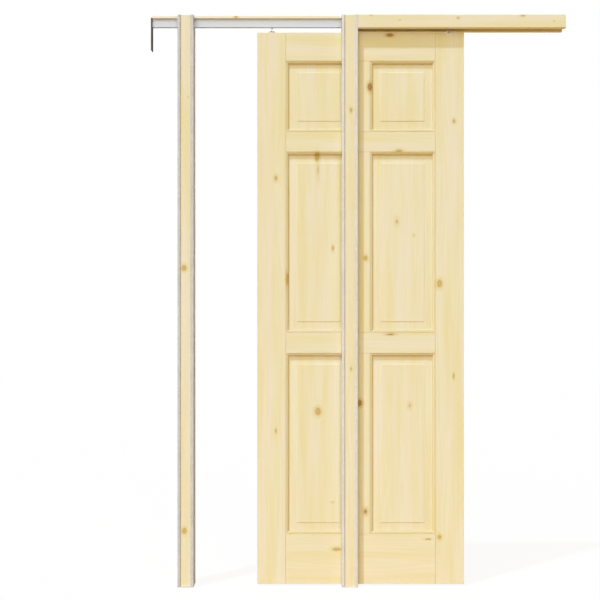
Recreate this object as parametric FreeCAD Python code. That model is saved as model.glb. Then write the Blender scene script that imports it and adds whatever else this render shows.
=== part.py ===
import FreeCAD, Part
import math
import os

# A pocket door frame: two pairs of steel-wrapped split studs make the pocket, a header carries a
# hanging track, and a six-panel pine door hangs from two trolleys, halfway out of the pocket.
# X runs along the wall towards the latch side, Y through the wall, Z up. All sizes are millimetres.
# The origin is on the floor, in the middle of the stud pair at the mouth of the pocket.

Vector = FreeCAD.Vector

# Door leaf and its place
DOOR_WIDTH = 762.0
DOOR_HEIGHT = 2032.0
DOOR_THICKNESS = 34.9
DOOR_OUT_OF_POCKET = 391.5
DOOR_FLOOR_GAP = 7.0
DOOR_SIDE_GAP = 5.05

# Flat faces of the stiles, mullions and rails, and the openings between the rails
STILE_FACE = 105.0
MULLION_FACE = 68.0
TOP_RAIL_FACE = 104.0
CROSS_RAIL_FACE = 73.0
LOCK_RAIL_FACE = 75.0
BOTTOM_RAIL_FACE = 184.0
TOP_OPENING = 262.0
MIDDLE_OPENING = 667.0

# Quirked ovolo moulding worked along the inner edges, and the groove that holds the panels
QUIRK_WIDTH = 2.0
QUIRK_DEPTH = 2.2
MOULDING_STEP = 0.6
MOULDING_RADIUS = 9.2
GROOVE_DEPTH = 10.0

# Raised panels
PANEL_EDGE_GAP = 2.0
PANEL_FACE_GAP = 0.5
PANEL_BEVEL = 30.0
PANEL_FIELD_STEP = 1.2
PANEL_FIELD_RECESS = 7.6

# Split studs: a folded steel wrap round a pine core
STUD_WIDTH = 59.0
STUD_DEPTH = 22.0
STUD_SPACING = 603.0
WRAP_SHEET = 1.2
WRAP_BEND = 1.0
WRAP_LIP = 11.8
WRAP_LIP_FLAT = 8.0
CORE_RECESS = 5.0
CORE_SIDE_GAP = 0.3
CORE_CHAMFER = 2.0

# Floor plates under the stud pairs
FLOOR_PLATE_THICKNESS = 2.0
FLOOR_PLATE_CORNER = 4.0
FLOOR_SCREW_SPACING = 34.0
FLOOR_SCREW_HOLE = 5.0

# Header: pine board, aluminium track and the two nailers over the doorway
BOARD_THICKNESS = 9.2
TRACK_WIDTH = 22.0
TRACK_HEIGHT = 30.0
TRACK_WALL = 2.0
TRACK_SLOT = 8.4
NAILER_HEIGHT = 48.8
NAILER_ROUND = 3.0

# End bracket at the back of the pocket
BRACKET_SHEET = 3.5
BRACKET_DROP = 115.8
BRACKET_LEG = 60.0
BRACKET_BEND = 1.0
BRACKET_CORNER = 2.0
BRACKET_SCREW_SPACING = 40.0
BRACKET_SCREW_RISE = 22.0
BRACKET_SCREW_HOLE = 5.0

# Hangers on the door top
HANGER_DROP = 21.8
HANGER_INSET = 54.5
HANGER_PLATE_LENGTH = 52.0
HANGER_PLATE_WIDTH = 28.0
HANGER_PLATE_SHEET = 2.5
HANGER_BRIDGE_LENGTH = 16.0
HANGER_SLANT = 8.0
HANGER_PLATE_BEND = 0.8
HANGER_SCREW_HOLE = 5.0
BOLT_DIAMETER = 5.0
BOLT_HEAD_DIAMETER = 11.0
BOLT_HEAD_HEIGHT = 3.0
BOLT_SLOT_GAP = 0.3
NUT_WIDTH = 8.0
NUT_HEIGHT = 4.0

# Trolleys that run in the track
TROLLEY_LENGTH = 62.0
TROLLEY_WIDTH = 8.6
TROLLEY_HEIGHT = 9.0
TROLLEY_TAPER = 3.0
TROLLEY_AXLE_SPACING = 40.0
TROLLEY_BOLT_BITE = 7.0
TROLLEY_BOLT_GAP = 0.15
AXLE_DIAMETER = 4.0
WHEEL_DIAMETER = 22.0
WHEEL_WIDTH = 3.6
WHEEL_WALL_GAP = 0.8
WHEEL_BORE_GAP = 0.3
WHEEL_RUNNING_GAP = 0.3

# Places worked out from the sizes above
POCKET_CLEAR = DOOR_THICKNESS + 2 * DOOR_SIDE_GAP
WALL_FACE = POCKET_CLEAR / 2 + STUD_DEPTH
MOUTH_EDGE = STUD_WIDTH / 2
LATCH_END = MOUTH_EDGE + DOOR_WIDTH
BRACKET_FACE = MOUTH_EDGE - DOOR_WIDTH
HEADER_START = BRACKET_FACE + BRACKET_SHEET + BRACKET_BEND
HEADER_LENGTH = LATCH_END - HEADER_START
DOOR_BOTTOM = DOOR_FLOOR_GAP
DOOR_TOP = DOOR_BOTTOM + DOOR_HEIGHT
DOOR_LEFT = MOUTH_EDGE + DOOR_OUT_OF_POCKET - DOOR_WIDTH
TRACK_BOTTOM = DOOR_TOP + HANGER_DROP
TRACK_TOP = TRACK_BOTTOM + TRACK_HEIGHT
FRAME_TOP = TRACK_TOP + BOARD_THICKNESS
MOULDING_WIDTH = QUIRK_WIDTH + MOULDING_RADIUS
MOULDING_DEPTH = MOULDING_STEP + MOULDING_RADIUS
GROOVE_WIDTH = DOOR_THICKNESS - 2 * MOULDING_DEPTH
BOTTOM_OPENING = (DOOR_HEIGHT - TOP_RAIL_FACE - TOP_OPENING - CROSS_RAIL_FACE
                  - MIDDLE_OPENING - LOCK_RAIL_FACE - BOTTOM_RAIL_FACE)
OPENING_WIDTH = (DOOR_WIDTH - 2 * STILE_FACE - MULLION_FACE) / 2
WHEEL_OUTSIDE = TRACK_WIDTH / 2 - TRACK_WALL - WHEEL_WALL_GAP
AXLE_RISE = TRACK_BOTTOM + TRACK_WALL + WHEEL_RUNNING_GAP + WHEEL_DIAMETER / 2


def outline_face(points):
    """Flat face inside a closed outline of straight edges."""
    return Part.Face(Part.makePolygon(points + points[:1]))


def box_between(low, high):
    """Box from its lowest to its highest corner."""
    size = high - low
    return Part.makeBox(size.x, size.y, size.z, low)


def picked_edges(shape, wanted):
    """Edges that pass the wanted test, which is given each edge and its middle point."""
    edges = []
    for edge in shape.Edges:
        middle = edge.valueAt((edge.FirstParameter + edge.LastParameter) / 2)
        if wanted(edge, middle):
            edges.append(edge)
    return edges


def runs_along(edge, axis):
    """True where a straight edge is parallel to an axis."""
    first, last = edge.Vertexes[0].Point, edge.Vertexes[-1].Point
    direction = last - first
    return direction.Length > 0 and direction.cross(axis).Length < 1e-6 * direction.Length


def upright_edges(shape):
    """Straight edges of a shape that run along Z."""
    return picked_edges(shape, lambda edge, middle: runs_along(edge, Vector(0, 0, 1)))


def bent_path(points, radii):
    """Edges of an open path of straight runs, with a round bend at each inner corner."""
    edges = []
    start = points[0]
    for before, corner, after, radius in zip(points, points[1:], points[2:], radii):
        towards = (before - corner).normalize()
        away = (after - corner).normalize()
        half_turn = towards.getAngle(away) / 2
        setback = radius / math.tan(half_turn)
        bend_start = corner + towards * setback
        bend_end = corner + away * setback
        to_centre = (towards + away).normalize()
        bend_middle = corner + to_centre * (radius / math.sin(half_turn) - radius)
        edges.append(Part.LineSegment(start, bend_start).toShape())
        edges.append(Part.Arc(bend_start, bend_middle, bend_end).toShape())
        start = bend_end
    edges.append(Part.LineSegment(start, points[-1]).toShape())
    return edges


def folded_sheet(points, inside_bend, sheet, along):
    """Sheet of even thickness with square ends, folded along a centre line and drawn out."""
    normal = Vector(along).normalize()
    runs = [(after - before).normalize() for before, after in zip(points, points[1:])]
    sides = [normal.cross(run) for run in runs]

    def surface(offset):
        corners = [points[0] + sides[0] * offset]
        radii = []
        for corner, side, next_side, next_run in zip(points[1:], sides, sides[1:], runs[1:]):
            corners.append(corner + (side + next_side) * (offset / (1 + side.dot(next_side))))
            turn = 1 if side.dot(next_run) > 0 else -1
            radii.append(inside_bend + sheet / 2 - turn * offset)
        corners.append(points[-1] + sides[-1] * offset)
        ends = [Vector(corners[0]), Vector(corners[-1])]
        return bent_path(corners, radii), ends

    near, near_ends = surface(sheet / 2)
    far, far_ends = surface(-sheet / 2)
    caps = [Part.LineSegment(a, b).toShape() for a, b in zip(near_ends, far_ends)]
    outline = Part.Wire(Part.__sortEdges__(near + far + caps))
    return Part.Face(outline).extrude(along)


def moulded_edge(face, place):
    """Edges of one moulded side of a member, from its back face to its front face.

    The side runs through the quirk, up to the crest and over the quarter round to the panel groove,
    and out again on the other face. place turns (distance across the member, distance through the
    door) into a point.
    """
    half = DOOR_THICKNESS / 2
    crest = face + QUIRK_WIDTH
    lip = face + MOULDING_WIDTH
    groove_floor = lip - GROOVE_DEPTH
    diagonal = MOULDING_RADIUS * math.sqrt(0.5)

    def side(sign):
        quirk = sign * (half - QUIRK_DEPTH)
        centre = sign * (half - MOULDING_DEPTH)
        corners = [place(face, sign * half), place(face, quirk), place(crest, quirk),
                   place(crest, sign * (half - MOULDING_STEP))]
        curve = Part.Arc(corners[-1], place(crest + diagonal, centre + sign * diagonal),
                         place(lip, centre))
        groove_corner = place(groove_floor, centre)
        runs = [Part.LineSegment(a, b).toShape() for a, b in zip(corners, corners[1:])]
        groove_side = Part.LineSegment(place(lip, centre), groove_corner).toShape()
        return runs + [curve.toShape(), groove_side], groove_corner

    back, back_corner = side(-1)
    front, front_corner = side(1)
    floor = Part.LineSegment(back_corner, front_corner).toShape()
    return back + [floor] + front[::-1]


def member(face, length, upright, moulded_low, moulded_high):
    """Stile, mullion or rail blank with its moulded edges, before its ends are coped.

    Its flat face starts at zero and is face wide. An upright member runs along Z, a rail along X.
    """
    half = DOOR_THICKNESS / 2

    def place(across, through):
        return Vector(across, through, 0) if upright else Vector(0, through, across)

    def mirrored(across, through):
        return place(face - across, through)

    edges = []
    if moulded_high:
        edges += moulded_edge(face, place)
    else:
        edges.append(Part.LineSegment(place(face, -half), place(face, half)).toShape())
    edges.append(Part.LineSegment(place(face, half), place(0, half)).toShape())
    if moulded_low:
        edges += moulded_edge(face, mirrored)[::-1]
    else:
        edges.append(Part.LineSegment(place(0, half), place(0, -half)).toShape())
    edges.append(Part.LineSegment(place(0, -half), place(face, -half)).toShape())
    profile = Part.Face(Part.Wire(Part.__sortEdges__(edges)))
    return profile.extrude(Vector(0, 0, length) if upright else Vector(length, 0, 0))


def coped(blank, neighbours):
    """Member cut to fit over its neighbours' mouldings, without the slivers left in their quirks."""
    return max(blank.cut(neighbours).Solids, key=lambda solid: solid.Volume)


def raised_panel(opening_width, opening_height):
    """Panel raised on both faces, with its tongue in the grooves round an opening.

    Its lower corner is where the flat faces round the opening meet.
    """
    field = DOOR_THICKNESS / 2 - PANEL_FIELD_RECESS
    bevel_top = field - PANEL_FIELD_STEP
    tongue = GROOVE_WIDTH / 2 - PANEL_FACE_GAP
    edge = MOULDING_WIDTH - GROOVE_DEPTH + PANEL_EDGE_GAP
    lip = MOULDING_WIDTH
    field_edge = MOULDING_WIDTH + PANEL_BEVEL

    def profile(span, place):
        rising = [(edge, tongue), (lip, tongue), (field_edge, bevel_top), (field_edge, field)]
        falling = [(span - across, through) for across, through in reversed(rising)]
        front = rising + falling
        back = [(across, -through) for across, through in reversed(front)]
        return outline_face([place(across, through) for across, through in front + back])

    upright = profile(opening_width, lambda across, through: Vector(across, through, 0))
    level = profile(opening_height, lambda across, through: Vector(0, through, across))
    across_opening = upright.extrude(Vector(0, 0, opening_height))
    up_opening = level.extrude(Vector(opening_width, 0, 0))
    return across_opening.common(up_opening).removeSplitter()


def door_leaf():
    """All wooden pieces of the door, at their place in the frame."""
    rows = [("bottom", BOTTOM_RAIL_FACE, BOTTOM_OPENING),
            ("lock", LOCK_RAIL_FACE, MIDDLE_OPENING),
            ("cross", CROSS_RAIL_FACE, TOP_OPENING),
            ("top", TOP_RAIL_FACE, 0)]
    opening_names = {"bottom": "bottom", "lock": "middle", "cross": "top"}
    rail_length = DOOR_WIDTH - 2 * STILE_FACE
    columns = {"left": STILE_FACE, "right": STILE_FACE + OPENING_WIDTH + MULLION_FACE}

    pieces = {}
    left_stile = member(STILE_FACE, DOOR_HEIGHT, True, False, True)
    right_stile = member(STILE_FACE, DOOR_HEIGHT, True, True, False)
    right_stile.translate(Vector(DOOR_WIDTH - STILE_FACE, 0, 0))
    pieces["left_stile"] = left_stile
    pieces["right_stile"] = right_stile

    rise = 0
    for name, face, opening in rows:
        rail = member(face, rail_length, False, name != "bottom", name != "top")
        rail.translate(Vector(STILE_FACE, 0, rise))
        pieces[name + "_rail"] = coped(rail, [left_stile, right_stile])
        rise += face + opening

    rise = 0
    for (name, face, opening), (upper_name, _, _) in zip(rows, rows[1:]):
        rise += face
        place = opening_names[name]
        mullion = member(MULLION_FACE, opening, True, True, True)
        mullion.translate(Vector(STILE_FACE + OPENING_WIDTH, 0, rise))
        rails = [pieces[name + "_rail"], pieces[upper_name + "_rail"]]
        pieces[place + "_mullion"] = coped(mullion, rails)
        for side, across in columns.items():
            panel = raised_panel(OPENING_WIDTH, opening)
            panel.translate(Vector(across, 0, rise))
            pieces[place + "_" + side + "_panel"] = panel
        rise += opening

    for piece in pieces.values():
        piece.translate(Vector(DOOR_LEFT, 0, DOOR_BOTTOM))
    return pieces


def stud_wrap():
    """Folded steel wrap of a front stud, standing on Z zero with its web towards the pocket.

    Each lip lies flat on the wall's face and then slants in, to end half a sheet short of the core.
    """
    web = -POCKET_CLEAR / 2 - WRAP_SHEET / 2
    lip = -WALL_FACE + WRAP_SHEET / 2
    leg = STUD_WIDTH / 2 - WRAP_SHEET / 2
    fold = STUD_WIDTH / 2 - WRAP_LIP_FLAT
    lip_edge = STUD_WIDTH / 2 - WRAP_LIP
    lip_end = -WALL_FACE + CORE_RECESS - WRAP_SHEET / 2
    right = [Vector(leg, web, 0), Vector(leg, lip, 0), Vector(fold, lip, 0),
             Vector(lip_edge, lip_end, 0)]
    left = [Vector(-point.x, point.y, 0) for point in reversed(right)]
    height = FRAME_TOP - FLOOR_PLATE_THICKNESS
    return folded_sheet(left + right, WRAP_BEND, WRAP_SHEET, Vector(0, 0, height))


def stud_core():
    """Pine core of a front stud, set back behind the lips of its wrap, with its arrises taken off."""
    half = STUD_WIDTH / 2 - WRAP_SHEET - CORE_SIDE_GAP
    low = Vector(-half, -WALL_FACE + CORE_RECESS, 0)
    high = Vector(half, -POCKET_CLEAR / 2 - WRAP_SHEET, FRAME_TOP - FLOOR_PLATE_THICKNESS)
    blank = box_between(low, high)
    return blank.makeChamfer(CORE_CHAMFER, upright_edges(blank))


def split_studs():
    """Front and back studs of both pairs."""
    pieces = {}
    for pair, across in {"mouth": 0, "pocket": -STUD_SPACING}.items():
        for kind, front in {"wrap": stud_wrap(), "core": stud_core()}.items():
            front.translate(Vector(across, 0, FLOOR_PLATE_THICKNESS))
            back = front.mirror(Vector(0, 0, 0), Vector(0, 1, 0))
            pieces[pair + "_front_stud_" + kind] = front
            pieces[pair + "_back_stud_" + kind] = back
    return pieces


def floor_plates():
    """Steel plate under each stud pair, with clipped corners and two screw holes in the open middle."""
    pieces = {}
    half_width = STUD_WIDTH / 2
    for pair, across in {"mouth": 0, "pocket": -STUD_SPACING}.items():
        plate = box_between(Vector(-half_width, -WALL_FACE, 0),
                            Vector(half_width, WALL_FACE, FLOOR_PLATE_THICKNESS))
        plate = plate.makeChamfer(FLOOR_PLATE_CORNER, upright_edges(plate))
        holes = [Part.makeCylinder(FLOOR_SCREW_HOLE / 2, FLOOR_PLATE_THICKNESS,
                                   Vector(side * FLOOR_SCREW_SPACING / 2, 0, 0))
                 for side in (-1, 1)]
        plate = plate.cut(holes)
        plate.translate(Vector(across, 0, 0))
        pieces[pair + "_floor_plate"] = plate
    return pieces


def track():
    """Aluminium track: a box section with a slot along its underside."""
    half = TRACK_WIDTH / 2
    slot = TRACK_SLOT / 2
    inside = half - TRACK_WALL
    floor = TRACK_BOTTOM + TRACK_WALL
    right = [(slot, TRACK_BOTTOM), (half, TRACK_BOTTOM), (half, TRACK_TOP)]
    inner = [(inside, TRACK_TOP - TRACK_WALL), (inside, floor), (slot, floor)]
    left = [(-across, rise) for across, rise in reversed(right)]
    inner_left = [(-across, rise) for across, rise in reversed(inner)]
    outline = right + left + inner_left + inner
    points = [Vector(HEADER_START, across, rise) for across, rise in outline]
    return outline_face(points).extrude(Vector(HEADER_LENGTH, 0, 0))


def header_board():
    """Pine board over the track, housed underneath at its end for the bracket's leg."""
    half = POCKET_CLEAR / 2
    leg_half = TRACK_WIDTH / 2
    board = box_between(Vector(HEADER_START, -half, TRACK_TOP), Vector(LATCH_END, half, FRAME_TOP))
    housing = box_between(Vector(HEADER_START, -leg_half, TRACK_TOP),
                          Vector(HEADER_START + BRACKET_LEG, leg_half, TRACK_TOP + BRACKET_SHEET))
    return board.cut(housing)


def nailers():
    """Pine nailers in front of and behind the track, over the doorway, eased along the bottom."""
    front = box_between(Vector(MOUTH_EDGE, -WALL_FACE, FRAME_TOP - NAILER_HEIGHT),
                        Vector(LATCH_END, -POCKET_CLEAR / 2, FRAME_TOP))

    def lower_front(edge, middle):
        low = middle.z < FRAME_TOP - NAILER_HEIGHT / 2
        return low and middle.y < -WALL_FACE + STUD_DEPTH / 2 and runs_along(edge, Vector(1, 0, 0))

    front = front.makeFillet(NAILER_ROUND, picked_edges(front, lower_front))
    back = front.mirror(Vector(0, 0, 0), Vector(0, 1, 0))
    return {"front_nailer": front, "back_nailer": back}


def end_bracket():
    """Steel angle at the end of the header: a leg on the track and a drilled plate hanging down.

    The plate is as wide as the board, and the leg is cut back to the track's width.
    """
    half = POCKET_CLEAR / 2
    leg_half = TRACK_WIDTH / 2
    plate = BRACKET_FACE + BRACKET_SHEET / 2
    leg = TRACK_TOP + BRACKET_SHEET / 2
    bottom = TRACK_TOP - BRACKET_DROP
    line = [Vector(plate, -half, bottom), Vector(plate, -half, leg),
            Vector(HEADER_START + BRACKET_LEG, -half, leg)]
    angle = folded_sheet(line, BRACKET_BEND, BRACKET_SHEET, Vector(0, POCKET_CLEAR, 0))

    def lower_corner(edge, middle):
        return middle.z < bottom + BRACKET_CORNER and runs_along(edge, Vector(1, 0, 0))

    angle = angle.makeFillet(BRACKET_CORNER, picked_edges(angle, lower_corner))
    holes = [Part.makeCylinder(BRACKET_SCREW_HOLE / 2, BRACKET_SHEET,
                               Vector(BRACKET_FACE, 0, bottom + BRACKET_SCREW_RISE + step),
                               Vector(1, 0, 0))
             for step in (0, BRACKET_SCREW_SPACING)]
    leg_sides = [box_between(Vector(HEADER_START, low, TRACK_TOP),
                             Vector(HEADER_START + BRACKET_LEG, high, TRACK_TOP + BRACKET_SHEET))
                 for low, high in ((-half, -leg_half), (leg_half, half))]
    return angle.cut(holes + leg_sides)


def hanger_plate():
    """Pressed plate on the door top: two screwed feet that slope up to a slotted bridge.

    The bridge holds the bolt by its head.
    """
    half = HANGER_PLATE_LENGTH / 2
    bridge = HANGER_BRIDGE_LENGTH / 2
    foot = HANGER_PLATE_SHEET / 2
    crown = foot + HANGER_PLATE_SHEET + BOLT_HEAD_HEIGHT
    heel = bridge + HANGER_SLANT
    right = [Vector(bridge, 0, crown), Vector(heel, 0, foot), Vector(half, 0, foot)]
    left = [Vector(-point.x, 0, point.z) for point in reversed(right)]
    plate = folded_sheet(left + right, HANGER_PLATE_BEND, HANGER_PLATE_SHEET,
                         Vector(0, HANGER_PLATE_WIDTH, 0))
    plate.translate(Vector(0, -HANGER_PLATE_WIDTH / 2, 0))
    slot_half = BOLT_DIAMETER / 2 + BOLT_SLOT_GAP
    reach = crown + HANGER_PLATE_SHEET
    slot = box_between(Vector(-slot_half, -HANGER_PLATE_WIDTH, HANGER_PLATE_SHEET),
                       Vector(slot_half, slot_half, reach))
    foot_middle = (half + heel) / 2
    holes = [Part.makeCylinder(HANGER_SCREW_HOLE / 2, reach, Vector(side * foot_middle, 0, -foot))
             for side in (-1, 1)]
    return plate.cut([slot] + holes)


def hexagon_nut(bottom):
    """Hexagon nut round the bolt, resting on the bridge."""
    corner = NUT_WIDTH / 2 / math.cos(math.pi / 6)
    turns = [math.pi / 3 * step for step in range(6)]
    points = [Vector(corner * math.cos(turn), corner * math.sin(turn), bottom) for turn in turns]
    return outline_face(points).extrude(Vector(0, 0, NUT_HEIGHT))


def hanger_bolt(tip):
    """Hanging bolt: a round head under the bridge, its adjusting nut and the shank up to the tip."""
    head_bottom = HANGER_PLATE_SHEET
    head_top = head_bottom + BOLT_HEAD_HEIGHT
    shank = Part.makeCylinder(BOLT_DIAMETER / 2, tip - head_bottom, Vector(0, 0, head_bottom))
    head = Part.makeCylinder(BOLT_HEAD_DIAMETER / 2, BOLT_HEAD_HEIGHT, Vector(0, 0, head_bottom))
    nut = hexagon_nut(head_top + HANGER_PLATE_SHEET)
    return shank.fuse([head, nut]).removeSplitter()


def trolley_body():
    """Trolley block with tapered ends, two axles through it and a blind hole for the bolt."""
    half_length = TROLLEY_LENGTH / 2
    half_width = TROLLEY_WIDTH / 2
    shoulder = half_length - TROLLEY_TAPER
    nose = half_width - TROLLEY_TAPER
    bottom = AXLE_RISE - TROLLEY_HEIGHT / 2
    front = [(-shoulder, -half_width), (shoulder, -half_width), (half_length, -nose)]
    outline = front + [(-across, -through) for across, through in front]
    outline.insert(3, (half_length, nose))
    outline.append((-half_length, -nose))
    points = [Vector(across, through, bottom) for across, through in outline]
    block = outline_face(points).extrude(Vector(0, 0, TROLLEY_HEIGHT))
    axles = [Part.makeCylinder(AXLE_DIAMETER / 2, 2 * WHEEL_OUTSIDE,
                               Vector(end * TROLLEY_AXLE_SPACING / 2, -WHEEL_OUTSIDE, AXLE_RISE),
                               Vector(0, 1, 0))
             for end in (-1, 1)]
    bolt_hole = Part.makeCylinder(BOLT_DIAMETER / 2 + TROLLEY_BOLT_GAP, TROLLEY_BOLT_BITE,
                                  Vector(0, 0, bottom))
    return block.fuse(axles).cut(bolt_hole)


def trolley_wheels():
    """Four loose wheels on the stub axles of one trolley."""
    bore = AXLE_DIAMETER / 2 + WHEEL_BORE_GAP
    wheels = []
    for end in (-1, 1):
        for through in (-WHEEL_OUTSIDE, WHEEL_OUTSIDE - WHEEL_WIDTH):
            start = Vector(end * TROLLEY_AXLE_SPACING / 2, through, AXLE_RISE)
            disc = Part.makeCylinder(WHEEL_DIAMETER / 2, WHEEL_WIDTH, start, Vector(0, 1, 0))
            hole = Part.makeCylinder(bore, WHEEL_WIDTH, start, Vector(0, 1, 0))
            wheels.append(disc.cut(hole))
    return wheels


def hangers():
    """Both hangers: plate and bolt on the door top, trolley and wheels in the track."""
    bolt_tip = AXLE_RISE - TROLLEY_HEIGHT / 2 + TROLLEY_BOLT_BITE
    places = {"left": DOOR_LEFT + HANGER_INSET, "right": DOOR_LEFT + DOOR_WIDTH - HANGER_INSET}
    pieces = {}
    wheels = []
    for side, across in places.items():
        on_door = Vector(across, 0, DOOR_TOP)
        in_track = Vector(across, 0, 0)
        pieces[side + "_hanger_plate"] = hanger_plate().translated(on_door)
        pieces[side + "_hanger_bolt"] = hanger_bolt(bolt_tip - DOOR_TOP).translated(on_door)
        pieces[side + "_trolley_body"] = trolley_body().translated(in_track)
        wheels += [wheel.translated(in_track) for wheel in trolley_wheels()]
    pieces["trolley_wheels"] = Part.makeCompound(wheels)
    return pieces


def main():
    """Build every piece and write one file for each."""
    pieces = {"header_board": header_board(), "track": track(), "end_bracket": end_bracket()}
    pieces.update(nailers())
    pieces.update(split_studs())
    pieces.update(floor_plates())
    pieces.update(door_leaf())
    pieces.update(hangers())
    os.makedirs("parts", exist_ok=True)
    for name, shape in pieces.items():
        shape.exportStep("parts/" + name + ".step")


main()
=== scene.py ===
import logging
import math
import random
from dataclasses import dataclass, field, replace
from enum import Enum
from typing import Any

import bmesh
import bpy
from mathutils import Matrix, Vector


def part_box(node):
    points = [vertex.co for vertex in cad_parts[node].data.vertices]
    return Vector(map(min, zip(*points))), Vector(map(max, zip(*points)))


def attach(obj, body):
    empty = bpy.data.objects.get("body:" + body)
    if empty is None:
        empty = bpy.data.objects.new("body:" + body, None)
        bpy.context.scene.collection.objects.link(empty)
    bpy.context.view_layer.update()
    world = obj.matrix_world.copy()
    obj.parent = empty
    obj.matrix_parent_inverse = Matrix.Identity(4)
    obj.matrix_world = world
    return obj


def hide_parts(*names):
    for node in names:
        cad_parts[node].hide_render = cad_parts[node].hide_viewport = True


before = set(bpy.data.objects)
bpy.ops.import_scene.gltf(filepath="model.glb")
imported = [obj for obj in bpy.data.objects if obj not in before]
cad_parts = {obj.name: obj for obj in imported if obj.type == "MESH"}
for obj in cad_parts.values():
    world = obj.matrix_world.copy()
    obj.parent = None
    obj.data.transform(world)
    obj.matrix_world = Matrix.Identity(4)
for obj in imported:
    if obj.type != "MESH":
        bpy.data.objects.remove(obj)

Tree = bpy.types.NodeTree
Socket = bpy.types.NodeSocket
Pair = tuple[float, float]

LOG = logging.getLogger("pocket_door_frame")
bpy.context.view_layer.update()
MM = 0.001

# Angles between faces
SHARP_EDGE = math.radians(35)
FLAT_UNDER = math.radians(5)
MOULDED_UNDER = math.radians(20)
ONE_PLANE = math.radians(0.5)

# Distances under which points or places count as one
WELD = 0.001 * MM
SAME_POINT = 0.002 * MM
SAME_PLACE = 0.02 * MM

# Marks on the faces of a moulded door member, which set how much painted shade each face gets
PAINTED_SHADE_LAYER = "moulded"
FLAT = 0.0
IN_MOULDING = 0.5
ON_LEDGE = 0.75
IN_QUIRK = 1.0

# How those faces are told apart, by their slope and their depth under the surface
FACES_FRONT = math.cos(math.radians(10))
FACES_SIDEWAYS = math.cos(math.radians(80))
LEDGE_RISE = 0.2
FLAT_DEPTH = 0.1 * MM
QUIRK_FLOOR = 1.5 * MM
QUIRK_DEPTH = 2.5 * MM
MOULDING_DEPTH = 10.2 * MM


def to_linear(code: str) -> tuple[float, float, float, float]:
    """Turn an sRGB hex colour into the linear colour that shaders take.

    Args:
        code: colour as #RRGGBB.

    Returns:
        Red, green, blue and an alpha of one.
    """
    values = [int(code[start:start + 2], 16) / 255 for start in (1, 3, 5)]
    linear = [v / 12.92 if v <= 0.04045 else ((v + 0.055) / 1.055) ** 2.4 for v in values]
    return linear[0], linear[1], linear[2], 1.0


def add_node(tree: Tree, kind: str, inputs: dict[Any, Any] | None = None,
             **settings: Any) -> bpy.types.Node:
    """Add one shader node with its settings, constants and links.

    Args:
        tree: node tree that takes the node.
        kind: Blender's name of the node, without its ShaderNode prefix.
        inputs: socket name or number to a constant, or to the output socket that feeds it.
        settings: properties of the node, such as its operation.

    Returns:
        The new node.
    """
    node = tree.nodes.new("ShaderNode" + kind)
    for name, value in settings.items():
        setattr(node, name, value)
    for key, value in (inputs or {}).items():
        if isinstance(value, Socket):
            tree.links.new(value, node.inputs[key])
        else:
            node.inputs[key].default_value = value
    return node


def set_ramp(node: bpy.types.Node, stops: list[tuple[float, tuple[float, float, float, float]]],
             interpolation: str = "LINEAR") -> None:
    """Give a colour ramp its stops.

    Args:
        node: the colour ramp.
        stops: place from 0 to 1 and colour of each stop, in order.
        interpolation: how the ramp runs from stop to stop.
    """
    ramp = node.color_ramp
    ramp.interpolation = interpolation
    while len(ramp.elements) < len(stops):
        ramp.elements.new(1.0)
    for element, (place, colour) in zip(ramp.elements, stops):
        element.position = place
        element.color = colour


def new_material(name: str) -> tuple[bpy.types.Material, Tree, bpy.types.Node]:
    """Start a material with one principled shader.

    Args:
        name: name of the material.

    Returns:
        The material, its node tree and its shader.
    """
    material = bpy.data.materials.new(name)
    material.use_nodes = True
    tree = material.node_tree
    tree.nodes.clear()
    shader = add_node(tree, "BsdfPrincipled")
    add_node(tree, "OutputMaterial", {"Surface": shader.outputs[0]})
    return material, tree, shader


class Grain(Enum):
    """Which way a board's grain runs."""

    UPRIGHT = "upright"
    LEVEL = "level"


class KnotTone(Enum):
    """How dark a knot is."""

    GOLDEN = "golden"
    BROWN = "brown"


@dataclass(frozen=True)
class Knot:
    """A branch knot that goes right through a board; places and radii in millimetres."""

    across: float
    up: float
    wide: float = 8.0
    tall: float = 10.0
    faint: float = 0.0
    tone: KnotTone = KnotTone.GOLDEN


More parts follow.
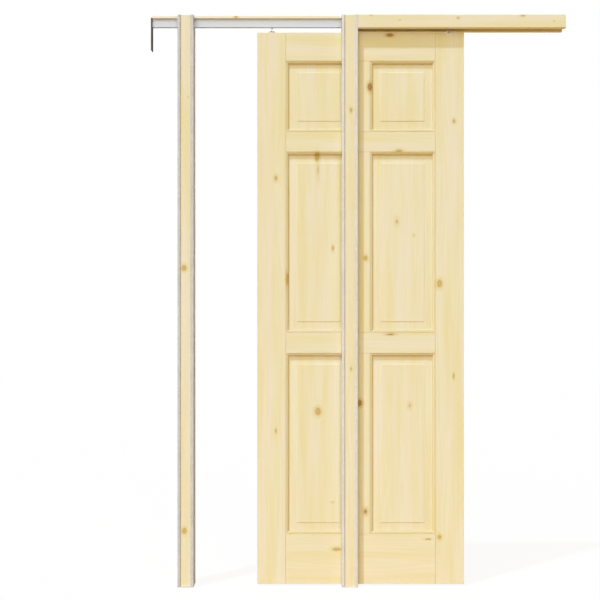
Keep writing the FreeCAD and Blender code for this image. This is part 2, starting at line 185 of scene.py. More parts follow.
@dataclass(frozen=True)
class PineFinish:
    """Planed and sanded bare pine: pale rings, golden latewood lines, fine fibre and round knots.

    The rings are worked out in the solid, so faces, edges and end grain agree with each other.
    Streaks are given as width and length, ranges as lowest and highest, and the roughness as that of
    earlywood and of latewood.
    """

    earlywood: str = "#F3E6C2"
    latewood: str = "#E7D396"
    heartwood: str = "#ECD998"
    sapwood: str = "#F2E2C5"
    golden_heart: str = "#D0B05A"
    golden_core: str = "#CAA650"
    golden_halo: str = "#E4CC8A"
    brown_heart: str = "#B5823F"
    brown_core: str = "#A67838"
    brown_halo: str = "#DAB972"
    # Painted shade, multiplied over the wood of a moulded member: none on flat faces, a little on the
    # moulded edges, and more on the up-facing ledges, where it tones down the highlight, and in the quirks.
    unshaded: str = "#FFFFFF"
    moulding_shade: str = "#FBF6E9"
    ledge_shade: str = "#E3DACB"
    quirk_shade: str = "#EEE2C8"
    # Real rings and fibre are finer than this; they are drawn as coarse as they need to be to show.
    ring_mm: float = 10.0
    ring_shape: tuple[Pair, ...] = ((0.0, 0.0), (0.35, 0.08), (0.8, 0.9), (0.9, 1.0), (1.0, 0.0))
    ring_tint: float = 0.25
    fibre_mm: Pair = (3.5, 160.0)
    fibre_tint: float = 0.8
    fibre_base: float = -0.2
    ripple_mm: Pair = (26.0, 260.0)
    heart_streak_mm: Pair = (42.0, 620.0)
    heart_range: Pair = (0.38, 0.68)
    sap_streak_mm: Pair = (33.0, 480.0)
    sap_range: Pair = (0.45, 0.75)
    streak_tint: float = 0.7
    pith_across_mm: Pair = (-45.0, 45.0)
    pith_behind_mm: Pair = (40.0, 85.0)
    along_log_m: Pair = (-20.0, 20.0)
    wander_mm: float = 46.0
    wander_rate: tuple[float, float, float] = (0.9, 0.9, 1.7)
    growth_mm: float = 30.0
    growth_rings: float = 2.4
    growth_range: Pair = (0.3, 0.7)
    poor_year: float = 0.15
    knot_noise_mm: float = 9.0
    knot_shake_mm: float = 4.0
    knot_reach: float = 2.5
    push_rings: float = 2.4
    push_falloff: float = 0.22
    relief_of_rings: float = 0.6
    bump: float = 0.12
    bump_mm: float = 0.3
    roughness: Pair = (0.65, 0.52)
    specular: float = 0.15

    def make(self, name: str, grain: Grain, middle: Vector, knots: tuple[Knot, ...],
             seed: int, moulded: bool) -> bpy.types.Material:
        """Make the pine of one board.

        Args:
            name: name of the material.
            grain: way the grain runs.
            middle: middle of the board, in metres.
            knots: knots of the board.
            seed: number that picks the log the board was sawn from.
            moulded: whether the board has moulded edges, which get painted shade.

        Returns:
            The finished material.
        """
        material, tree, shader = new_material(name)
        place = add_node(tree, "TexCoord").outputs["Object"]
        board = self._board_coordinates(tree, place, grain, middle, seed)
        push = self._knot_push(tree, self._knot_field(tree, place, knots)) if knots else None
        latewood = self._latewood(tree, board, push)
        fibre = self._streaks(tree, board, *self.fibre_mm)
        colour = self._colour(tree, board, latewood, fibre)
        for tone in KnotTone:
            alike = tuple(knot for knot in knots if knot.tone is tone)
            if alike:
                colour = self._with_knots(tree, colour, self._knot_field(tree, place, alike), tone)
        # Painted shade on the moulded edges, their up-facing ledges and the quirks.
        if moulded:
            colour = self._with_painted_shade(tree, colour)
        tree.links.new(colour, shader.inputs["Base Color"])
        relief = add_node(tree, "Math", {0: latewood, 1: self.relief_of_rings, 2: fibre},
                          operation="MULTIPLY_ADD")
        bump = add_node(tree, "Bump", {"Strength": self.bump, "Distance": self.bump_mm * MM,
                                       "Height": relief.outputs[0]})
        tree.links.new(bump.outputs[0], shader.inputs["Normal"])
        early, late = self.roughness
        rough = add_node(tree, "MapRange", {"Value": latewood, "To Min": early, "To Max": late})
        tree.links.new(rough.outputs[0], shader.inputs["Roughness"])
        shader.inputs["Specular IOR Level"].default_value = self.specular
        return material

    def _board_coordinates(self, tree: Tree, place: Socket, grain: Grain, middle: Vector,
                           seed: int) -> Socket:
        """Turn object coordinates so that the grain runs along Z, with the tree's pith on that axis.

        Args:
            tree: node tree of the board's material.
            place: object coordinates.
            grain: way the grain runs.
            middle: middle of the board, in metres.
            seed: number that picks the log.

        Returns:
            Coordinates in the log.
        """
        log = random.Random(seed)
        pith_across = log.uniform(*self.pith_across_mm) * MM
        pith_behind = log.choice((-1, 1)) * log.uniform(*self.pith_behind_mm) * MM
        start = log.uniform(*self.along_log_m)
        if grain is Grain.UPRIGHT:
            turn = (0.0, 0.0, 0.0)
            shift = (pith_across - middle.x, pith_behind, start)
        else:
            turn = (0.0, -math.pi / 2, 0.0)
            shift = (pith_across + middle.z, pith_behind, start)
        mapping = add_node(tree, "Mapping", {"Vector": place, "Location": shift, "Rotation": turn})
        return mapping.outputs[0]

    def _streaks(self, tree: Tree, board: Socket, width_mm: float, length_mm: float) -> Socket:
        """Noise drawn out along the grain.

        Args:
            tree: node tree of the board's material.
            board: coordinates in the log.
            width_mm: width of a streak.
            length_mm: length of a streak.

        Returns:
            Noise from 0 to 1.
        """
        scale = (1 / (width_mm * MM), 1 / (width_mm * MM), 1 / (length_mm * MM))
        stretched = add_node(tree, "VectorMath", {0: board, 1: scale}, operation="MULTIPLY")
        noise = add_node(tree, "TexNoise", {"Vector": stretched.outputs[0], "Scale": 1.0, "Detail": 2.0,
                                            "Roughness": 0.5})
        return noise.outputs[0]

    def _latewood(self, tree: Tree, board: Socket, push: Socket | None) -> Socket:
        """Share of latewood in the growth rings, which bend round the knots.

        Args:
            tree: node tree of the board's material.
            board: coordinates in the log.
            push: how far the knots push the rings aside, in rings.

        Returns:
            Latewood from 0 to 1.
        """
        slow = add_node(tree, "VectorMath", {0: board, 1: self.wander_rate}, operation="MULTIPLY")
        wander = add_node(tree, "TexNoise", {"Vector": slow.outputs[0], "Scale": 1.0, "Detail": 1.0})
        reach = self.wander_mm * MM
        offset = add_node(tree, "VectorMath", {0: wander.outputs["Color"], 1: (reach, reach, 0.0),
                                               2: (-reach / 2, -reach / 2, 0.0)},
                          operation="MULTIPLY_ADD")
        bent = add_node(tree, "VectorMath", {0: board, 1: offset.outputs[0]}, operation="ADD")
        flat = add_node(tree, "VectorMath", {0: bent.outputs[0], 1: (1.0, 1.0, 0.0)},
                        operation="MULTIPLY")
        radius = add_node(tree, "VectorMath", {0: flat.outputs[0]}, operation="LENGTH")
        ripple = self._streaks(tree, board, *self.ripple_mm)
        years = add_node(tree, "Math", {0: radius.outputs["Value"], 1: 1 / (self.growth_mm * MM)},
                         operation="MULTIPLY")
        growth = add_node(tree, "TexNoise", {"W": years.outputs[0], "Scale": 1.0, "Detail": 2.0},
                          noise_dimensions="1D")
        uneven = add_node(tree, "Math", {0: growth.outputs[0], 1: self.growth_rings, 2: ripple},
                          operation="MULTIPLY_ADD")
        rings = add_node(tree, "Math", {0: radius.outputs["Value"], 1: 1 / (self.ring_mm * MM),
                                        2: uneven.outputs[0]}, operation="MULTIPLY_ADD").outputs[0]
        if push is not None:
            rings = add_node(tree, "Math", {0: rings, 1: push}, operation="ADD").outputs[0]
        ring = add_node(tree, "Math", {0: rings}, operation="FRACT")
        ramp = add_node(tree, "ValToRGB", {0: ring.outputs[0]})
        set_ramp(ramp, [(at, (share, share, share, 1.0)) for at, share in self.ring_shape], "EASE")
        slowest, fastest = self.growth_range
        good_years = add_node(tree, "MapRange", {"Value": growth.outputs[0], "From Min": slowest,
                                                 "From Max": fastest, "To Min": self.poor_year})
        return add_node(tree, "Math", {0: ramp.outputs["Color"], 1: good_years.outputs[0]},
                        operation="MULTIPLY").outputs[0]

    def _colour(self, tree: Tree, board: Socket, latewood: Socket, fibre: Socket) -> Socket:
        """Colour of the clear wood between the knots.

        Args:
            tree: node tree of the board's material.
            board: coordinates in the log.
            latewood: share of latewood.
            fibre: fine streaks of the fibre.

        Returns:
            The colour.
        """
        share = add_node(tree, "Math", {0: fibre, 1: self.fibre_tint, 2: self.fibre_base},
                         operation="MULTIPLY_ADD")
        lines = add_node(tree, "Math", {0: latewood, 1: self.ring_tint, 2: share.outputs[0]},
                         operation="MULTIPLY_ADD", use_clamp=True)
        wood = add_node(tree, "Mix", {"Factor": lines.outputs[0], "A": to_linear(self.earlywood),
                                      "B": to_linear(self.latewood)}, data_type="RGBA")
        # Bare pine looks cream with long streaks: heartwood is more golden, sapwood paler.
        tints = ((self.heartwood, self.heart_streak_mm, self.heart_range),
                 (self.sapwood, self.sap_streak_mm, self.sap_range))
        for tint, streak_mm, (lowest, highest) in tints:
            streaks = self._streaks(tree, board, *streak_mm)
            strength = add_node(tree, "MapRange", {"Value": streaks, "From Min": lowest,
                                                   "From Max": highest, "To Max": self.streak_tint})
            wood = add_node(tree, "Mix", {"Factor": strength.outputs[0], "A": wood.outputs["Result"],
                                          "B": to_linear(tint)}, data_type="RGBA")
        return wood.outputs["Result"]

    def _with_painted_shade(self, tree: Tree, colour: Socket) -> Socket:
        """Darken the moulded edges, their up-facing ledges and the quirks beside them with painted shade.

        Args:
            tree: node tree of the board's material.
            colour: colour of the wood so far.

        Returns:
            Colour with the painted shade on the moulded edges.
        """
        share = add_node(tree, "Attribute", attribute_name=PAINTED_SHADE_LAYER)
        ramp = add_node(tree, "ValToRGB", {0: share.outputs["Fac"]})
        set_ramp(ramp, [(FLAT, to_linear(self.unshaded)), (IN_MOULDING, to_linear(self.moulding_shade)),
                        (ON_LEDGE, to_linear(self.ledge_shade)), (IN_QUIRK, to_linear(self.quirk_shade))])
        shaded = add_node(tree, "Mix", {"Factor": 1.0, "A": colour, "B": ramp.outputs["Color"]},
                        data_type="RGBA", blend_type="MULTIPLY")
        return shaded.outputs["Result"]

    def _knot_field(self, tree: Tree, place: Socket, knots: tuple[Knot, ...]) -> Socket:
        """Distance to the nearest knot, in knot radii.

        Args:
            tree: node tree of the board's material.
            place: object coordinates.
            knots: knots of the board.

        Returns:
            The distance: under one inside a knot.
        """
        uneven = add_node(tree, "TexNoise", {"Vector": place, "Scale": 1 / (self.knot_noise_mm * MM),
                                             "Detail": 1.0})
        most = self.knot_shake_mm * MM
        shake = add_node(tree, "VectorMath", {0: uneven.outputs["Color"], 1: (most, 0.0, most), 2: place},
                         operation="MULTIPLY_ADD")
        nearest = None
        for knot in knots:
            centre = (knot.across * MM + most / 2, 0.0, knot.up * MM + most / 2)
            away = add_node(tree, "VectorMath", {0: shake.outputs[0], 1: centre}, operation="SUBTRACT")
            radii = (1 / (knot.wide * MM), 0.0, 1 / (knot.tall * MM))
            scaled = add_node(tree, "VectorMath", {0: away.outputs[0], 1: radii}, operation="MULTIPLY")
            reach = add_node(tree, "VectorMath", {0: scaled.outputs[0]}, operation="LENGTH")
            faded = add_node(tree, "Math", {0: reach.outputs["Value"], 1: knot.faint}, operation="ADD")
            if nearest is None:
                nearest = faded.outputs[0]
            else:
                nearest = add_node(tree, "Math", {0: nearest, 1: faded.outputs[0]},
                                   operation="MINIMUM").outputs[0]
        return nearest

    def _knot_push(self, tree: Tree, knot_field: Socket) -> Socket:
        """How far the knots push the growth rings aside.

        Args:
            tree: node tree of the board's material.
            knot_field: distance to the nearest knot, in knot radii.

        Returns:
            The push, in rings.
        """
        square = add_node(tree, "Math", {0: knot_field, 1: knot_field}, operation="MULTIPLY")
        falling = add_node(tree, "Math", {0: square.outputs[0], 1: -self.push_falloff},
                           operation="MULTIPLY")
        bell = add_node(tree, "Math", {0: falling.outputs[0]}, operation="EXPONENT")
        push = add_node(tree, "Math", {0: bell.outputs[0], 1: self.push_rings}, operation="MULTIPLY")
        return push.outputs[0]

    def _with_knots(self, tree: Tree, colour: Socket, knot_field: Socket, tone: KnotTone) -> Socket:
        """Lay knots of one tone over the wood.

        Args:
            tree: node tree of the board's material.
            colour: colour of the wood so far.
            knot_field: distance to the nearest of these knots, in knot radii.
            tone: how dark the knots are.

        Returns:
            Colour with the knots.
        """
        reach = self.knot_reach
        brown = tone is KnotTone.BROWN
        heart = self.brown_heart if brown else self.golden_heart
        core = self.brown_core if brown else self.golden_core
        halo = self.brown_halo if brown else self.golden_halo
        share = add_node(tree, "Math", {0: knot_field, 1: 1 / reach}, operation="MULTIPLY")
        ramp = add_node(tree, "ValToRGB", {0: share.outputs[0]})
        stops = [(0.0, heart, 0.9), (0.4, heart, 0.9), (0.8, core, 0.9), (1.25, halo, 0.7),
                 (1.75, halo, 0.35), (reach, halo, 0.0)]
        set_ramp(ramp, [(at / reach, to_linear(code)[:3] + (alpha,)) for at, code, alpha in stops])
        mixed = add_node(tree, "Mix", {"Factor": ramp.outputs["Alpha"], "A": colour,
                                       "B": ramp.outputs["Color"]}, data_type="RGBA")
        return mixed.outputs["Result"]


@dataclass(frozen=True)
class SheetSteelFinish:
    """Hot-dip galvanised sheet: a dull zinc skin with faint spangle, a little brighter cell by cell."""

    light: str
    dark: str
    spangle_mm: float = 9.0
    spangle_share: float = 0.35
    cloud_mm: float = 70.0
    colour_range: Pair = (0.35, 0.95)
    metallic: float = 0.1
    specular: float = 0.2
    roughness: Pair = (0.53, 0.67)
    bump: float = 0.05
    bump_mm: float = 0.1

    def make(self, name: str) -> bpy.types.Material:
        """Make the galvanised steel.

        Args:
            name: name of the material.

        Returns:
            The finished material.
        """
        material, tree, shader = new_material(name)
        place = add_node(tree, "TexCoord").outputs["Object"]
        # The zinc sets in crystals, so each cell of the spangle is a little lighter or darker.
        cells = add_node(tree, "TexVoronoi", {"Vector": place, "Scale": 1 / (self.spangle_mm * MM)})
        cell = add_node(tree, "SeparateColor", {0: cells.outputs["Color"]})
        cloud = add_node(tree, "TexNoise", {"Vector": place, "Scale": 1 / (self.cloud_mm * MM),
                                            "Detail": 3.0})
        share = add_node(tree, "Math", {0: cell.outputs[0], 1: self.spangle_share, 2: cloud.outputs[0]},
                         operation="MULTIPLY_ADD")
        lowest, highest = self.colour_range
        spread = add_node(tree, "MapRange", {"Value": share.outputs[0], "From Min": lowest,
                                             "From Max": highest})
        colour = add_node(tree, "Mix", {"Factor": spread.outputs[0], "A": to_linear(self.light),
                                        "B": to_linear(self.dark)}, data_type="RGBA")
        tree.links.new(colour.outputs["Result"], shader.inputs["Base Color"])
        smooth, coarse = self.roughness
        rough = add_node(tree, "MapRange", {"Value": cell.outputs[1], "To Min": smooth, "To Max": coarse})
        tree.links.new(rough.outputs[0], shader.inputs["Roughness"])
        bump = add_node(tree, "Bump", {"Strength": self.bump, "Distance": self.bump_mm * MM,
                                       "Height": cloud.outputs[0]})
        tree.links.new(bump.outputs[0], shader.inputs["Normal"])
        shader.inputs["Metallic"].default_value = self.metallic
        shader.inputs["Specular IOR Level"].default_value = self.specular
        return material


@dataclass(frozen=True)
class ExtrusionFinish:
    """Satin aluminium extrusion: fine die lines along its length, drawn wide enough to show."""

    light: str = "#D7DAE2"
    dark: str = "#CED1D8"
    line_mm: float = 1.6
    lines_per_m: float = 0.8
    metallic: float = 0.28
    roughness: Pair = (0.46, 0.6)
    bump: float = 0.08
    bump_mm: float = 0.05

    def make(self, name: str) -> bpy.types.Material:
        """Make the aluminium.

        Args:
            name: name of the material.

        Returns:
            The finished material.
        """
        material, tree, shader = new_material(name)
        place = add_node(tree, "TexCoord").outputs["Object"]
        # The die leaves fine lines along the length, which give the satin sheen.
        across = 1 / (self.line_mm * MM)
        drawn = add_node(tree, "VectorMath", {0: place, 1: (self.lines_per_m, across, across)},
                         operation="MULTIPLY")
        lines = add_node(tree, "TexNoise", {"Vector": drawn.outputs[0], "Scale": 1.0, "Detail": 3.0})
        colour = add_node(tree, "Mix", {"Factor": lines.outputs[0], "A": to_linear(self.light),
                                        "B": to_linear(self.dark)}, data_type="RGBA")
        tree.links.new(colour.outputs["Result"], shader.inputs["Base Color"])
        smooth, coarse = self.roughness
        rough = add_node(tree, "MapRange", {"Value": lines.outputs[0], "To Min": smooth, "To Max": coarse})
        tree.links.new(rough.outputs[0], shader.inputs["Roughness"])
        bump = add_node(tree, "Bump", {"Strength": self.bump, "Distance": self.bump_mm * MM,
                                       "Height": lines.outputs[0]})
        tree.links.new(bump.outputs[0], shader.inputs["Normal"])
        shader.inputs["Metallic"].default_value = self.metallic
        return material


@dataclass(frozen=True)
class ZincPlateFinish:
    """Bright zinc plate on pressed steel: a pale warm grey with slightly cloudy gloss."""

    light: str = "#EDE3DC"
    dark: str = "#DDD3CC"
    cloud_mm: float = 6.0
    metallic: float = 0.35
    roughness: Pair = (0.24, 0.42)

    def make(self, name: str) -> bpy.types.Material:
        """Make the zinc plate.

        Args:
            name: name of the material.

        Returns:
            The finished material.
        """
        material, tree, shader = new_material(name)
        place = add_node(tree, "TexCoord").outputs["Object"]
        # The plating bath leaves a bright gloss with faint clouds in it.
        cloud = add_node(tree, "TexNoise", {"Vector": place, "Scale": 1 / (self.cloud_mm * MM),
                                            "Detail": 3.0})
        colour = add_node(tree, "Mix", {"Factor": cloud.outputs[0], "A": to_linear(self.light),
                                        "B": to_linear(self.dark)}, data_type="RGBA")
        tree.links.new(colour.outputs["Result"], shader.inputs["Base Color"])
        smooth, coarse = self.roughness
        rough = add_node(tree, "MapRange", {"Value": cloud.outputs[0], "To Min": smooth, "To Max": coarse})
        tree.links.new(rough.outputs[0], shader.inputs["Roughness"])
        shader.inputs["Metallic"].default_value = self.metallic
        return material


@dataclass(frozen=True)
class NylonFinish:
    """Moulded nylon: an off-white with a soft, slightly uneven gloss."""

    light: str = "#E2DFD6"
    dark: str = "#D3CFC4"
    cloud_mm: float = 3.0
    roughness: float = 0.42

    def make(self, name: str) -> bpy.types.Material:
        """Make the nylon.

        Args:
            name: name of the material.

        Returns:
            The finished material.
        """
        material, tree, shader = new_material(name)
        place = add_node(tree, "TexCoord").outputs["Object"]
        # Moulded nylon looks soft and nearly even, a little cloudy close by.
        cloud = add_node(tree, "TexNoise", {"Vector": place, "Scale": 1 / (self.cloud_mm * MM),
                                            "Detail": 2.0})
        colour = add_node(tree, "Mix", {"Factor": cloud.outputs[0], "A": to_linear(self.light),
                                        "B": to_linear(self.dark)}, data_type="RGBA")
        tree.links.new(colour.outputs["Result"], shader.inputs["Base Color"])
        shader.inputs["Roughness"].default_value = self.roughness
        return material


def finish_mesh(shape: bmesh.types.BMesh, name: str, smooth_under: float) -> bpy.types.Object:
    """Turn a bmesh into an object that sits at the origin, smooth except at its sharp edges.

    Args:
        shape: the finished shape, in metres; it is freed.
        name: name of the piece.
        smooth_under: largest angle between two faces that flow into each other.

    Returns:
        The new object.
    """
    mesh = bpy.data.meshes.new(name)
    shape.to_mesh(mesh)
    shape.free()
    mesh.shade_smooth()
    mesh.set_sharp_from_angle(angle=smooth_under)
    piece = bpy.data.objects.new(name, mesh)
    bpy.context.scene.collection.objects.link(piece)
    return piece


def draw_in_ends(shape: bmesh.types.BMesh, axis: int, seam_mm: float) -> None:
    """Draw both ends of a member in by a hair, so that its joints show as fine lines.

    Args:
        shape: the member.
        axis: 0 for a rail, 2 for an upright member.
        seam_mm: width of the line at each end.
    """
    places = [vertex.co[axis] for vertex in shape.verts]
    low, high = min(places), max(places)
    for vertex in shape.verts:
        if vertex.co[axis] < low + SAME_PLACE:
            vertex.co[axis] += seam_mm * MM
        elif vertex.co[axis] > high - SAME_PLACE:
            vertex.co[axis] -= seam_mm * MM


def eased_copy(node: str, name: str, ease_mm: float, smooth_under: float, axis: int = 0,
               seam_mm: float = 0.0) -> bpy.types.Object:
    """Copy a node's shape and ease its sharp edges, as sanding does.

    Args:
        node: the node to copy.
        name: name of the new piece.
        ease_mm: width of the easing.
        smooth_under: largest angle between two faces that flow into each other.
        axis: axis that the piece runs along.
        seam_mm: width of the fine line at the joints of its ends.

    Returns:
        The new object.
    """
    shape = bmesh.new()
    shape.from_mesh(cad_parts[node].data)
    bmesh.ops.remove_doubles(shape, verts=shape.verts[:], dist=WELD)
    if seam_mm > 0:
        draw_in_ends(shape, axis, seam_mm)
    bmesh.ops.dissolve_limit(shape, angle_limit=ONE_PLANE, verts=shape.verts[:], edges=shape.edges[:])
    sharp = [edge for edge in shape.edges
             if edge.is_manifold and edge.calc_face_angle() > SHARP_EDGE]
    bmesh.ops.bevel(shape, geom=sharp, offset=ease_mm * MM, affect="EDGES", segments=2, profile=0.5,
                    material=-1, clamp_overlap=True)
    bmesh.ops.remove_doubles(shape, verts=shape.verts[:], dist=SAME_POINT)
    bmesh.ops.dissolve_degenerate(shape, dist=SAME_POINT, edges=shape.edges[:])
    return finish_mesh(shape, name, smooth_under)


def mark_painted_shade(piece: bpy.types.Object) -> None:
    """Mark how much painted shade each face of a door member gets: its moulded edges, their up-facing
    ledges and the quirks beside them.

    Args:
        piece: the member, whose flat faces look along Y.
    """
    points = [vertex.co for vertex in piece.data.vertices]
    surface = max(abs(point.y) for point in points)
    left, right = min(point.x for point in points), max(point.x for point in points)
    bottom, top = min(point.z for point in points), max(point.z for point in points)
    # The quirk along the top of a rail lies open to the light, so it gets no painted shade.
    lit_above = (bottom + top) / 2 if right - left > top - bottom else top
    layer = piece.data.attributes.new(PAINTED_SHADE_LAYER, "FLOAT", "FACE")
    for face in piece.data.polygons:
        depth = surface - abs(face.center.y)
        frontal = abs(face.normal.y)
        quirk_floor = QUIRK_FLOOR < depth < QUIRK_DEPTH and frontal > FACES_FRONT
        quirk_wall = depth < QUIRK_DEPTH and frontal < FACES_SIDEWAYS
        # Each face gets the painted shade of a quirk, of an up-facing ledge or of the rest of the moulding.
        if quirk_floor or quirk_wall:
            layer.data[face.index].value = IN_QUIRK if face.center.z < lit_above else FLAT
        elif FLAT_DEPTH < depth < MOULDING_DEPTH:
            layer.data[face.index].value = ON_LEDGE if face.normal.z > LEDGE_RISE else IN_MOULDING


def dress(piece: bpy.types.Object, material: bpy.types.Material) -> None:
    """Give every face of a piece one material and report the piece.

    Args:
        piece: the piece.
        material: its material.
    """
    piece.data.materials.clear()
    piece.data.materials.append(material)
    LOG.info("%s dressed in %s", piece.name, material.name)


def middle_of(node: str) -> Vector:
    """Middle of a node's box."""
    low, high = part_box(node)
    return (low + high) / 2


@dataclass(frozen=True)
class PineBoard:
    """One solid pine piece: its node, its grain and its knots."""

    node: str
    grain: Grain
    knots: tuple[Knot, ...] = ()
    seed: int = 1
    ease_mm: float = 0.8
    smooth_under: float = FLAT_UNDER
    seam_mm: float = 0.0
    # Whether the moulded edges get painted shade.
    moulded: bool = False

    def build(self, body: str, slot: str, finish: PineFinish) -> None:
        """Ease the board's edges and give it its own pine.

        Args:
            body: body that the board rides on.
            slot: material slot of the record; not used.
            finish: the pine.
        """
        axis = 2 if self.grain is Grain.UPRIGHT else 0
        piece = eased_copy(self.node, self.node + "_board", self.ease_mm, self.smooth_under, axis,
                           self.seam_mm)
        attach(piece, body)
        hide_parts(self.node)
        # The moulded edges are marked for their painted shade.
        if self.moulded:
            mark_painted_shade(piece)
        dress(piece, finish.make(self.node + "_pine", self.grain, middle_of(self.node), self.knots,
                                 self.seed, self.moulded))
        LOG.info("board %s with %d knots", piece.name, len(self.knots))


def door_boards() -> tuple[PineBoard, ...]:
    """List the stiles, rails and mullions of the door, with the knots that each shows.

    Returns:
        The members of the door's frame.
    """
    return (
        PineBoard("left_stile", Grain.UPRIGHT, (Knot(-272, 1503, 7, 11, 0.3), Knot(-272, 571, 4, 11, 0.35),
                                                Knot(-230, 1130, 5, 20, 0.0)), 11),
        PineBoard("right_stile", Grain.UPRIGHT, (Knot(384, 1713, 7, 10, 0.4), Knot(331, 1114, 9, 13),
                                                 Knot(383, 773, 4, 12, 0.25),
                                                 Knot(331, 180, 8, 10, 0.25)), 12),
        PineBoard("top_rail", Grain.LEVEL, (Knot(148, 2030, 12, 6, 0.0, KnotTone.BROWN),), 51),
        PineBoard("cross_rail", Grain.LEVEL, (Knot(182, 1604, 13, 5, 0.15), Knot(-120, 1590, 8, 9)), 14),
        PineBoard("lock_rail", Grain.LEVEL, (Knot(150, 927, 18, 4.5, 0.45, KnotTone.BROWN),), 15),
        PineBoard("bottom_rail", Grain.LEVEL, (Knot(-48, 135, 15, 6), Knot(289, 172, 12, 3, 0.15)), 16),
        PineBoard("top_mullion", Grain.UPRIGHT, (Knot(74, 1839, 8, 13, 0.0, KnotTone.BROWN),), 17),
        PineBoard("middle_mullion", Grain.UPRIGHT, (Knot(58, 1208, 8, 10, 0.1),), 18),
        PineBoard("bottom_mullion", Grain.UPRIGHT, (Knot(37, 674, 8, 11, 0.0, KnotTone.BROWN),
                                                    Knot(58, 274, 9, 13, 0.45, KnotTone.BROWN)), 19),
    )


def door_panels() -> tuple[PineBoard, ...]:
    """List the raised panels of the door, with the knots that each shows.

    Returns:
        The six panels.
    """
    return (
        PineBoard("top_left_panel", Grain.UPRIGHT, (), 21),
        PineBoard("top_right_panel", Grain.UPRIGHT, (), 22),
        PineBoard("middle_left_panel", Grain.UPRIGHT,
                  (Knot(-62, 1245, 5, 11, 0.3), Knot(-120, 1582, 8, 16), Knot(-117, 1535, 7, 40, 0.8)), 23),
        PineBoard("middle_right_panel", Grain.UPRIGHT,
                  (Knot(174, 1343, 8, 14, 0.65), Knot(237, 1293, 7, 9, 1.0)), 24),
        PineBoard("bottom_left_panel", Grain.UPRIGHT,
                  (Knot(-117, 642, 10, 13), Knot(-63, 307, 9, 5, 0.8)), 25),
        PineBoard("bottom_right_panel", Grain.UPRIGHT, (Knot(222, 664, 10, 15, 0.8),), 26),
    )


@dataclass
class DoorLeaf:
    """The six-panel door: stiles, rails, mullions and raised panels."""

    finish: PineFinish = field(default_factory=PineFinish)
    seam_mm: float = 1.0
    moulding_ease_mm: float = 0.3

    def build(self) -> None:
        """Build and dress every wooden piece of the door."""
        for board in door_boards():
            seam_mm = 0.0 if board.node.endswith("stile") else self.seam_mm
            worked = replace(board, ease_mm=self.moulding_ease_mm, smooth_under=MOULDED_UNDER,
                             seam_mm=seam_mm, moulded=True)
            worked.build("door", "door_pine", self.finish)
        for board in door_panels():
            board.build("door", "panel_pine", self.finish)


@dataclass
class SplitStuds:
    """Two pairs of studs: pine cores in folded steel wraps, on steel floor plates."""

    pine: PineFinish = field(default_factory=PineFinish)
    # The mouth wraps take a lighter copy of the galvanised steel than the pocket wraps: painted light,
    # which stands in for the light that the door's pine bounces onto them.
    mouth_steel_with_painted_bounce: SheetSteelFinish = field(default_factory=lambda: SheetSteelFinish("#E6DDCB", "#D9CFBE"))
    pocket_steel: SheetSteelFinish = field(default_factory=lambda: SheetSteelFinish("#D6D0C6", "#C8C1B7"))

    def build(self) -> None:
        """Build the cores and dress the wraps and plates."""
        cores = (
            PineBoard("mouth_front_stud_core", Grain.UPRIGHT, (Knot(4, 1750, 6, 10, 0.3),
                                                               Knot(4, 801, 4, 9, 0.4)), 31),
            PineBoard("pocket_front_stud_core", Grain.UPRIGHT,
                      (Knot(-594, 1798, 4, 6, 0.8), Knot(-608, 1171), Knot(-608, 207)), 32),
            PineBoard("mouth_back_stud_core", Grain.UPRIGHT, (Knot(-6, 1420), Knot(8, 512)), 33),
            PineBoard("pocket_back_stud_core", Grain.UPRIGHT, (Knot(-598, 1604), Knot(-609, 690)), 34),
        )
        for core in cores:
            core.build("frame", "framing_pine", self.pine)
        for pair, steel in (("mouth", self.mouth_steel_with_painted_bounce), ("pocket", self.pocket_steel)):
            wrap = steel.make(f"{pair}_galvanised_sheet")
            dress(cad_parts[pair + "_floor_plate"], wrap)
            for side in ("front", "back"):
                dress(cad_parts[f"{pair}_{side}_stud_wrap"], wrap)


@dataclass
class Header:
    """Board, track, nailers and end bracket over the opening."""

    pine: PineFinish = field(default_factory=PineFinish)
    sappy_pine: PineFinish = field(default_factory=lambda: PineFinish(
        earlywood="#F8EFDA", latewood="#F0E3BC", heartwood="#F4E7BC", sapwood="#F8EEDC"))
    track: ExtrusionFinish = field(default_factory=ExtrusionFinish)
    # The bracket's steel is far darker than the galvanised wraps: painted shade, for its side face, which
    # looks away from the lamps.
    bracket: SheetSteelFinish = field(
        default_factory=lambda: SheetSteelFinish("#72716F", "#62615F", metallic=0.0, specular=0.0))

    def build(self) -> None:
        """Build the boards and dress the metal."""
        top_board = PineBoard("header_board", Grain.LEVEL, (Knot(-420, 2096, 6, 3),), 41)
        top_board.build("frame", "framing_pine", self.sappy_pine)
        nailers = (
            PineBoard("front_nailer", Grain.LEVEL, (Knot(77, 2097, 7, 3, 0.5), Knot(183, 2080, 6, 5, 0.85),
                                                    Knot(396, 2087, 6, 4, 0.3), Knot(634, 2096, 8, 4, 0.2),
                                                    Knot(748, 2076, 5, 4, 0.6)), 42),
            PineBoard("back_nailer", Grain.LEVEL, (Knot(150, 2085, 8, 5), Knot(505, 2072, 7, 5)), 43),
        )
        for nailer in nailers:
            nailer.build("frame", "framing_pine", self.pine)
        dress(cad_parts["track"], self.track.make("satin_aluminium"))
        dress(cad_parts["end_bracket"], self.bracket.make("galvanised_bracket_painted_shade"))


